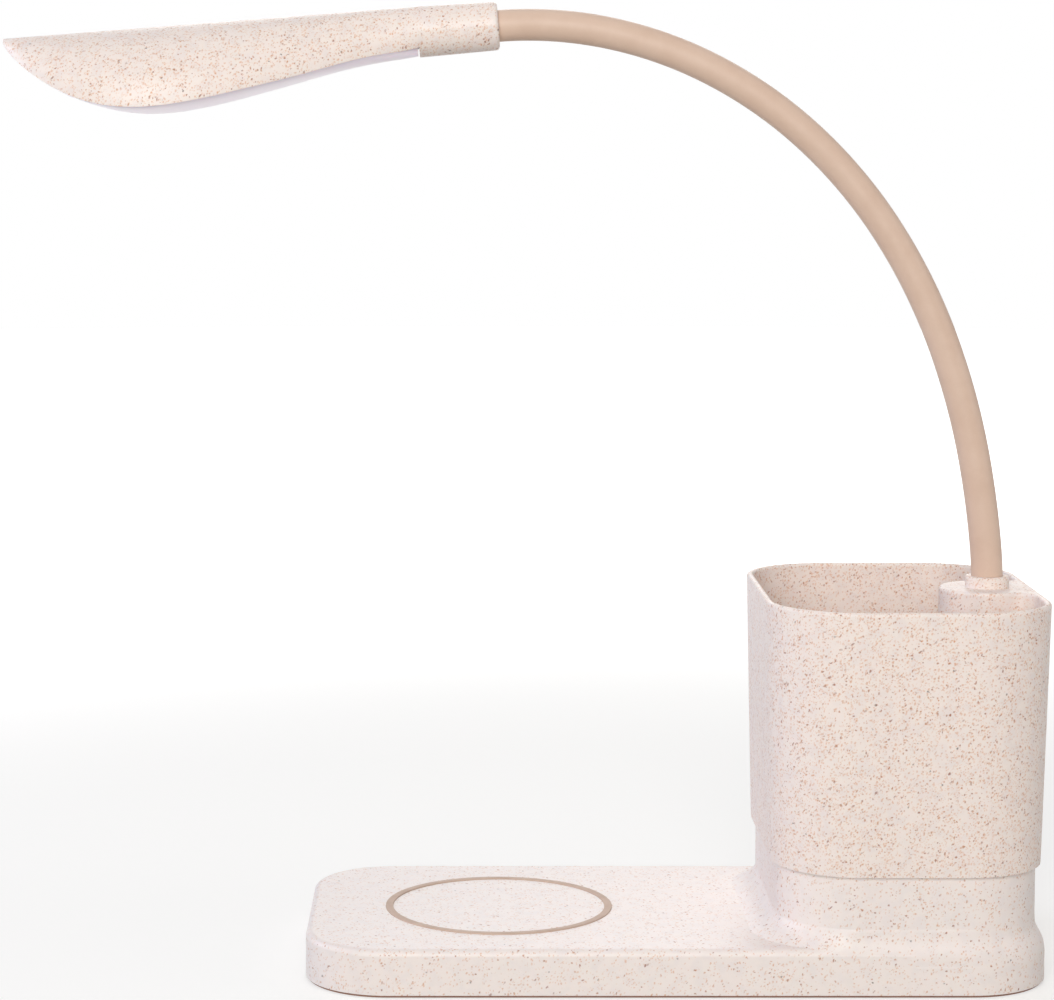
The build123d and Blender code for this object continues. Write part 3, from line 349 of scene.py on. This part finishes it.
# Finishes of the record's material slots: effect, its values, the shader's own values and bump in millimetres
strawColours = {"Straw Colour": paint(216, 152, 92), "Husk Colour": paint(150, 86, 58),
                "Speck Colour": paint(98, 80, 76)}
strawShader = {"Subsurface Weight": 0.12, "Subsurface Radius": (1.0, 0.6, 0.4), "Subsurface Scale": 0.0025}
finishes = {
    "speckled_base": ("strawFlecks", {
        **strawColours, "Body Colour": paint(243, 232, 225), "Cool Colour": paint(231, 222, 219),
        "Fleck Amount": 0.42, "Cool Amount": 0.35, "Speck Amount": 0.5,
    }, strawShader, 0.02),
    "speckled_shell": ("strawFlecks", {
        **strawColours, "Body Colour": paint(244, 231, 222), "Cool Colour": paint(229, 218, 215),
        "Fleck Amount": 1.1, "Cool Amount": 0.35, "Speck Amount": 0.9,
    }, strawShader, 0.02),
    "ring_silicone": ("mouldedSkin", {
        "Body Colour": paint(205, 178, 158), "Shade Colour": paint(190, 162, 142), "Grain Size": 0.3,
        "Smoothest": 0.55, "Roughest": 0.7,
    }, {}, 0.02),
    "pad_rubber": ("mouldedSkin", {
        "Body Colour": paint(158, 118, 100), "Shade Colour": paint(136, 98, 82), "Grain Size": 0.25,
        "Smoothest": 0.7, "Roughest": 0.9,
    }, {}, 0.05),
    "cover_plastic": ("mouldedSkin", {
        "Body Colour": paint(226, 218, 210), "Shade Colour": paint(214, 204, 195), "Smoothest": 0.45,
        "Roughest": 0.6,
    }, {}, 0.02),
    "screw_steel": ("metalSkin", {
        "Body Colour": paint(198, 198, 200), "Tarnish Colour": paint(165, 163, 160),
    }, {"Metallic": 1.0}, 0.005),
    "ballast_steel": ("metalSkin", {
        "Body Colour": paint(120, 120, 123), "Tarnish Colour": paint(95, 88, 82), "Tarnish Amount": 0.7,
        "Smoothest": 0.4, "Roughest": 0.6,
    }, {"Metallic": 1.0}, 0.02),
    "coil_copper": ("wireTurns", {
        "Wire Colour": paint(196, 120, 78), "Gap Colour": paint(96, 48, 28),
    }, {"Metallic": 0.9}, 0.1),
    "ferrite": ("mouldedSkin", {
        "Body Colour": paint(52, 52, 56), "Shade Colour": paint(40, 40, 44),
    }, {}, 0.01),
    "board_green": ("boardSkin", {
        "Mask Colour": paint(26, 84, 52), "Run Colour": paint(48, 118, 74),
        "Pad Colour": paint(205, 190, 150),
    }, {"Coat Weight": 0.3}, 0.02),
    "led_board_aluminium": ("boardSkin", {
        "Mask Colour": paint(238, 238, 236), "Run Colour": paint(226, 226, 222),
        "Pad Colour": paint(205, 198, 184), "Run Pitch": 3.0,
    }, {}, 0.02),
    "component_black": ("mouldedSkin", {
        "Body Colour": paint(42, 42, 44), "Shade Colour": paint(32, 32, 34), "Smoothest": 0.35,
        "Roughest": 0.5,
    }, {}, 0.01),
    "port_metal": ("metalSkin", {
        "Body Colour": paint(206, 206, 208), "Tarnish Colour": paint(178, 176, 172),
        "Line Size": (2.0, 2.0, 0.1),
    }, {"Metallic": 1.0}, 0.005),
    "button_plastic": ("mouldedSkin", {
        "Body Colour": paint(208, 180, 160), "Shade Colour": paint(198, 168, 148), "Smoothest": 0.35,
        "Roughest": 0.48,
    }, {}, 0.01),
    "neck_silicone": ("mouldedSkin", {
        "Body Colour": paint(220, 192, 171), "Shade Colour": paint(212, 182, 160), "Grain Size": 0.35,
        "Mottle Size": 9.0, "Mottle Amount": 0.6, "Smoothest": 0.4, "Roughest": 0.52,
    }, {"Specular IOR Level": 0.45}, 0.012),
    "neck_steel": ("metalSkin", {
        "Body Colour": paint(150, 150, 152), "Tarnish Colour": paint(120, 116, 112), "Smoothest": 0.3,
        "Roughest": 0.5,
    }, {"Metallic": 1.0}, 0.02),
    "ferrule_brass": ("metalSkin", {
        "Body Colour": paint(214, 186, 128), "Tarnish Colour": paint(172, 140, 88),
        "Line Size": (2.0, 2.0, 0.08),
    }, {"Metallic": 1.0}, 0.01),
    "lead_insulation": ("mouldedSkin", {
        "Body Colour": paint(176, 46, 40), "Shade Colour": paint(150, 36, 32), "Smoothest": 0.3,
        "Roughest": 0.42,
    }, {}, 0.01),
    "socket_plastic": ("mouldedSkin", {
        "Body Colour": paint(236, 232, 220), "Shade Colour": paint(226, 221, 206), "Smoothest": 0.35,
        "Roughest": 0.5,
    }, {}, 0.01),
    # The diffuser's faint lavender emission is a painted glow: the lamp is off, and the glow stands in for
    # light scattered through the milky plastic.
    "diffuser_opal": ("mouldedSkin", {
        "Body Colour": paint(251, 238, 248), "Shade Colour": paint(247, 233, 245), "Grain Size": 0.8,
        "Mottle Size": 14.0, "Mottle Amount": 0.4, "Smoothest": 0.34, "Roughest": 0.4,
    }, {"Subsurface Weight": 0.25, "Subsurface Scale": 0.004, "Emission Color": (1.0, 0.93, 1.0, 1.0),
        "Emission Strength": 0.13}, 0.0005),
    "carrier_white": ("mouldedSkin", {
        "Body Colour": paint(242, 242, 240), "Shade Colour": paint(234, 234, 230), "Smoothest": 0.4,
        "Roughest": 0.55,
    }, {}, 0.01),
    "led_phosphor": ("mouldedSkin", {
        "Body Colour": paint(248, 224, 108), "Shade Colour": paint(240, 206, 80), "Grain Size": 0.15,
        "Smoothest": 0.3, "Roughest": 0.45,
    }, {}, 0.02),
}
coilLow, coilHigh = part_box("charging_coil")
materials = {}
for slotName, (effect, values, shader, bump) in finishes.items():
    centre = (coilLow + coilHigh) / 2 if slotName == "coil_copper" else (0.0, 0.0, 0.0)
    materials[slotName] = makeMaterial(slotName, effect, values, shader, bump, centre)

for subpart in frame["record"]["subparts"]:
    node = frame["nodes"][subpart["node"]]
    node.data.materials.clear()
    node.data.materials.append(materials[subpart["material_slot"]])
print("finishes set:", len(materials))


# Gooseneck: a skin and a core tube for each bend, from mid-span to mid-span, that turn across its joint
neckValues = {
    "start": (83.35, 97.1),
    "steps": [11.5, 22.0, 32.0, 32.0, 32.0, 32.0, 32.0, 25.6],
    "headings": [90.0, 95.6, 100.6, 110.4, 122.6, 137.0, 152.9, 170.1, 184.4],
    # outer and inner radius, finish, and the nodes that a layer stands for
    "layers": {
        "neckSkin": (4.1, 3.4, "neck_silicone", "neck_sleeve_"),
        "neckCore": (3.3, 1.5, "neck_steel", "neck_core_"),
    },
    "sides": 48,
    "ringGap": 1.0,
    "inSocket": 4.0,
    "bendBefore": [8.5, 11.0, 16.0, 16.0, 16.0, 16.0, 16.0],
    "bendAfter": [11.0, 16.0, 16.0, 16.0, 16.0, 16.0, 18.0],
}


def neckSpans():  # start point, heading, turning radius and length of each span, in metres and radians
    spans, (x, z) = [], neckValues["start"]
    headings = [radians(h) for h in neckValues["headings"]]
    for step, before, after in zip(neckValues["steps"], headings, headings[1:]):
        bend = step / (after - before)
        spans.append((Vector((x, 0.0, z)) * mm, before, bend * mm, step * mm))
        x, z = x + bend * (sin(after) - sin(before)), z - bend * (cos(after) - cos(before))
    return spans


def alongSpan(span, along):  # point and heading at a distance along a span
    start, before, bend = span[:3]
    heading = before + along / bend
    shift = Vector((sin(heading) - sin(before), 0.0, cos(before) - cos(heading))) * bend
    return start + shift, heading


def sweepNeck(mesh, radius, runs):  # a tube through pieces of spans; its first and last loops come back
    place, heading = alongSpan(runs[0][0], runs[0][1])
    tilt = Matrix.Translation(place) @ Matrix.Rotation(pi / 2 - heading, 4, "Y")
    circle = bmesh.ops.create_circle(mesh, radius=radius * mm, segments=neckValues["sides"], matrix=tilt)
    ring = circle["verts"]
    edges = list(dict.fromkeys(edge for vertex in ring for edge in vertex.link_edges))  # once each, in order
    first, geometry = edges, ring + edges
    for span, begin, end in runs:
        start, before, bend = span[:3]
        centre = start + Vector((-sin(before), 0.0, cos(before))) * bend
        steps = max(3, round((end - begin) / (neckValues["ringGap"] * mm)))
        swept = bmesh.ops.spin(mesh, geom=geometry, cent=centre, axis=(0.0, -1.0, 0.0), steps=steps,
                               angle=(end - begin) / bend, use_merge=False, use_duplicate=False)
        geometry = swept["geom_last"]
    return first, [part for part in geometry if isinstance(part, bmesh.types.BMEdge)]


# merge distance in metres, sharpest smooth edge in degrees
meshValues = {"mergeDistance": 1e-7, "sharpAngle": 40.0}


def cornerIndices(part):
    return sorted(vertex.index for vertex in part.verts)


def finishMesh(name, mesh, slotName):
    bmesh.ops.remove_doubles(mesh, verts=mesh.verts, dist=meshValues["mergeDistance"])
    bmesh.ops.recalc_face_normals(mesh, faces=mesh.faces)
    mesh.verts.index_update()
    for parts in (mesh.edges, mesh.faces):  # a fixed order, so that each run gives the same mesh
        for place, part in enumerate(sorted(parts, key=cornerIndices)):
            part.index = place
        parts.sort()
    for face in mesh.faces:
        face.smooth = True
    for edge in mesh.edges:
        edge.smooth = edge.is_manifold and edge.calc_face_angle(0.0) < radians(meshValues["sharpAngle"])
    data = bpy.data.meshes.new(name)
    mesh.to_mesh(data)
    mesh.free()
    data.materials.append(materials[slotName])
    piece = bpy.data.objects.new(name, data)
    scene.collection.objects.link(piece)
    return piece


spans = neckSpans()
for joint in range(1, len(spans)):
    before, after = spans[joint - 1], spans[joint]
    lastJoint = joint == len(spans) - 1
    begin = 0.0 if joint == 1 else before[3] / 2
    end = after[3] + neckValues["inSocket"] * mm if lastJoint else after[3] / 2
    runs = [(before, begin, before[3]), (after, 0.0, end)]
    for name, (outer, inner, slotName, nodeStem) in neckValues["layers"].items():
        mesh = bmesh.new()
        outerFirst, outerLast = sweepNeck(mesh, outer, runs)
        innerFirst, innerLast = sweepNeck(mesh, inner, runs)
        bmesh.ops.bridge_loops(mesh, edges=outerFirst + innerFirst)
        bmesh.ops.bridge_loops(mesh, edges=outerLast + innerLast)
        tube = finishMesh(f"{name}{joint}", mesh, slotName)
        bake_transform(tube)
        stoodFor = [joint - 1, joint] if lastJoint else [joint - 1]
        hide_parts(*[f"{nodeStem}{span}" for span in stoodFor])
print("gooseneck swept:", len(spans) - 1, "bends")


# Contacts on the inlet's tongue
contactValues = {"count": 12, "pitch": 0.5, "size": (0.26, 3.2, 0.03), "fromTip": 0.5, "tipDepth": 1.0,
                 "tongueThickness": 0.7}
portLow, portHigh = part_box("usb_c_port")
portMiddle = (portLow + portHigh) / 2
contactSize = Vector(contactValues["size"]) * mm
contactTip = portHigh.y - (contactValues["tipDepth"] + contactValues["fromTip"]) * mm
contactRise = (contactValues["tongueThickness"] * mm + contactSize.z) / 2
mesh = bmesh.new()
for side in (-1, 1):
    for number in range(contactValues["count"]):
        across = (number - (contactValues["count"] - 1) / 2) * contactValues["pitch"] * mm
        middle = Vector((portMiddle.x + across, contactTip - contactSize.y / 2,
                         portMiddle.z + side * contactRise))
        stretch = Matrix.Diagonal((*contactSize, 1.0))
        bmesh.ops.create_cube(mesh, size=1.0, matrix=Matrix.Translation(middle) @ stretch)
contacts = finishMesh("inletContacts", mesh, "ferrule_brass")
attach(contacts, "base")
print("inlet contacts added")


# Camera at the photograph's place, floor and studio light
# focal length, frame and axis in pixels of the photograph, sensor in millimetres
cameraValues = {"place": (-0.05556, -0.75983, 0.20809), "pitch": 0.089, "focal": 2913.5, "width": 1054,
                "height": 1000, "axisAcross": 459.0, "axisDown": 425.0, "sensor": 36.0, "nearest": 0.01}
cameraData = bpy.data.cameras.new("camera")
cameraData.sensor_width = cameraValues["sensor"]
cameraData.lens = cameraValues["focal"] / cameraValues["width"] * cameraValues["sensor"]
cameraData.shift_x = 0.5 - cameraValues["axisAcross"] / cameraValues["width"]
cameraData.shift_y = (cameraValues["axisDown"] - cameraValues["height"] / 2) / cameraValues["width"]
cameraData.clip_start = cameraValues["nearest"]
camera = bpy.data.objects.new("camera", cameraData)
camera.location = cameraValues["place"]
camera.rotation_euler = (pi / 2 - cameraValues["pitch"], 0.0, 0.0)
scene.collection.objects.link(camera)
scene.camera = camera


def seenDirectly(tree):  # 1 for the camera and in reflections, 0 for the light that lands on pieces
    rays = put(tree, "LightPath").outputs
    mirrored = calc(tree, "MAXIMUM", rays["Is Glossy Ray"], rays["Is Transmission Ray"])
    return calc(tree, "MAXIMUM", rays["Is Camera Ray"], mirrored)


# The floor is paper that glows a little where the camera or a reflection sees it, and more further out
floorValues = {"radius": 3.0, "sides": 64, "drop": 0.0001, "colour": paint(188, 187, 182), "roughness": 0.9,
               "liftRange": (0.25, 0.9, 0.52, 1.0)}
mesh = bmesh.new()
bmesh.ops.create_circle(mesh, cap_ends=True, radius=floorValues["radius"], segments=floorValues["sides"],
                        matrix=Matrix.Translation((0.0, 0.0, -floorValues["drop"])))
floorData = bpy.data.meshes.new("floor")
mesh.to_mesh(floorData)
mesh.free()
floor = bpy.data.objects.new("floor", floorData)
scene.collection.objects.link(floor)
floorMaterial = bpy.data.materials.new("floorPaint")
floorMaterial.use_nodes = True
tree = floorMaterial.node_tree
tree.nodes.clear()
paper = put(tree, "BsdfPrincipled", {"Base Color": floorValues["colour"],
                                     "Roughness": floorValues["roughness"]})
fromCentre = put(tree, "TexCoord").outputs["Object"]
away = put(tree, "VectorMath", {0: fromCentre}, operation="LENGTH").outputs["Value"]
lift = ramp(tree, away, *floorValues["liftRange"])
glow = put(tree, "Emission", {"Strength": calc(tree, "MULTIPLY", lift, seenDirectly(tree))})
both = put(tree, "AddShader", {0: paper.outputs[0], 1: glow.outputs[0]})
put(tree, "OutputMaterial", {"Surface": both.outputs[0]})
floorData.materials.append(floorMaterial)

worldValues = {"white": (1.0, 1.0, 1.0, 1.0), "ambient": (0.95, 0.94, 1.0, 1.0), "strength": 0.23}
world = bpy.data.worlds.new("studio")
world.use_nodes = True
scene.world = world
tree = world.node_tree
tree.nodes.clear()
dim = put(tree, "Background", {"Color": worldValues["ambient"], "Strength": worldValues["strength"]})
white = put(tree, "Background", {"Color": worldValues["white"], "Strength": 1.0})
chosen = put(tree, "MixShader", {0: seenDirectly(tree), 1: dim.outputs[0], 2: white.outputs[0]})
put(tree, "OutputWorld", {"Surface": chosen.outputs[0]})

# name: place, target, size, watts, colour
lampValues = {
    "keyLamp": ((-0.32, -1.6, 0.72), (0.0, 0.0, 0.1), 1.1, 20.2, (1.0, 0.995, 0.99)),
    "leftLamp": ((-1.4, 0.35, 0.5), (0.05, 0.0, 0.1), 0.9, 7.5, (0.70, 0.76, 1.0)),
    "rightLamp": ((1.5, -0.3, 0.5), (0.05, 0.0, 0.1), 0.9, 2.8, (1.0, 0.96, 0.95)),
    "topLamp": ((0.0, 0.1, 1.6), (0.0, 0.0, 0.1), 1.2, 2.6, (1.0, 0.995, 0.99)),
    "backLamp": ((0.1, 1.5, 0.8), (0.0, 0.0, 0.1), 1.0, 5.0, (1.0, 0.98, 0.95)),
}
for name, (place, target, size, watts, colour) in lampValues.items():
    lampData = bpy.data.lights.new(name, "AREA")
    lampData.shape = "DISK"
    lampData.size = size
    lampData.energy = watts
    lampData.color = colour
    lamp = bpy.data.objects.new(name, lampData)
    lamp.location = place
    lamp.rotation_euler = (Vector(target) - Vector(place)).to_track_quat("-Z", "Y").to_euler()
    scene.collection.objects.link(lamp)
print("camera, floor and lamps set")
